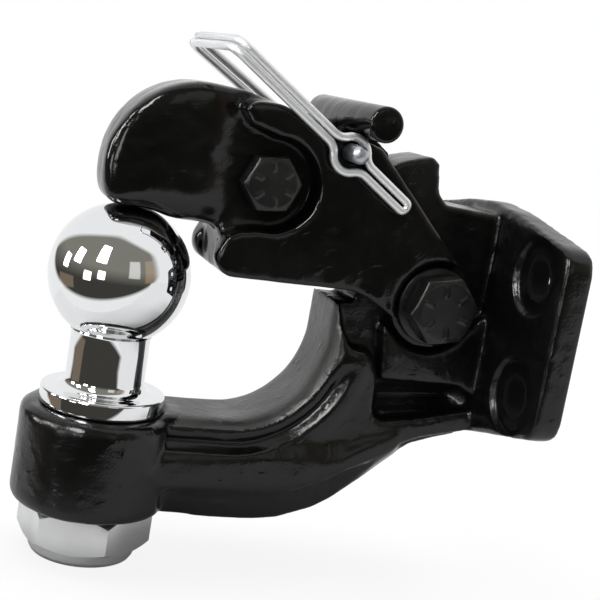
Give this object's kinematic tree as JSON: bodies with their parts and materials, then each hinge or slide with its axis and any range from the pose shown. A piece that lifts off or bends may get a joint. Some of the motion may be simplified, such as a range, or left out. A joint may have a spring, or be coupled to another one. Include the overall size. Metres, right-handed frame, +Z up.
{
  "type": "pintle hook",
  "caption": "Cast combination pintle hook: bolt-on body with a tow ball on its lower arm, a jaw that swings up from a rear pivot, a lock lever with a cross handle, and a wire-bail safety pin.",
  "frame": {"origin": "Centre of the four-bolt pattern on the flat mounting face.", "axes": "+X leaves the mounting face towards the vehicle, +Z is up with the ball upright, and the hook reaches out along -X; the jaw, lever and safety pin all turn about lines along Y."},
  "size_m": [0.1801, 0.128, 0.1937],
  "materials": {
    "black_paint": "gloss black enamel over rough casting skin",
    "chrome": "bright plating",
    "zinc": "bright zinc plating",
    "black_steel": "gloss black enamel over hex steel",
    "bronze": "plain turned bushing",
    "nylon": "natural nylon"
  },
  "bodies": {
    "body": {"body_casting": "black_paint", "tow_ball": "chrome", "ball_lock_nut": "zinc", "nut_insert": "nylon", "pivot_bolt": "black_steel", "pivot_washer_near": "black_steel", "pivot_washer_far": "black_steel", "pivot_nut": "black_steel", "pivot_bushing": "bronze"},
    "jaw": {"upper_jaw": "black_paint", "front_bolt": "black_steel", "front_washer_far": "black_steel", "front_nut": "black_steel", "lever_bushing": "bronze"},
    "lock": {"lock_lever": "black_paint", "cross_handle": "black_paint", "handle_weld_pin": "zinc", "lock_spring": "zinc"},
    "pin": {"safety_pin": "zinc", "wire_bail": "zinc"}
  },
  "joints": [
    {"name": "jaw_open", "type": "hinge", "parent": "body", "child": "jaw", "pos_m": [-0.0353, 0, 0.0035], "axis": [0, 1, 0], "range_deg": [0, 40]},
    {"name": "lock_lift", "type": "hinge", "parent": "jaw", "child": "lock", "pos_m": [-0.1061, 0, 0.0404], "axis": [0, -1, 0], "range_deg": [0, 16.8]},
    {"name": "pin_swing", "type": "hinge", "parent": "jaw", "child": "pin", "pos_m": [-0.0804, 0, 0.0557], "axis": [0, 1, 0], "range_deg": [-6, 14]}
  ],
  "couplings": [
    {"joint": "lock_lift", "follows": "jaw_open", "ratio": 0.42}
  ]
}
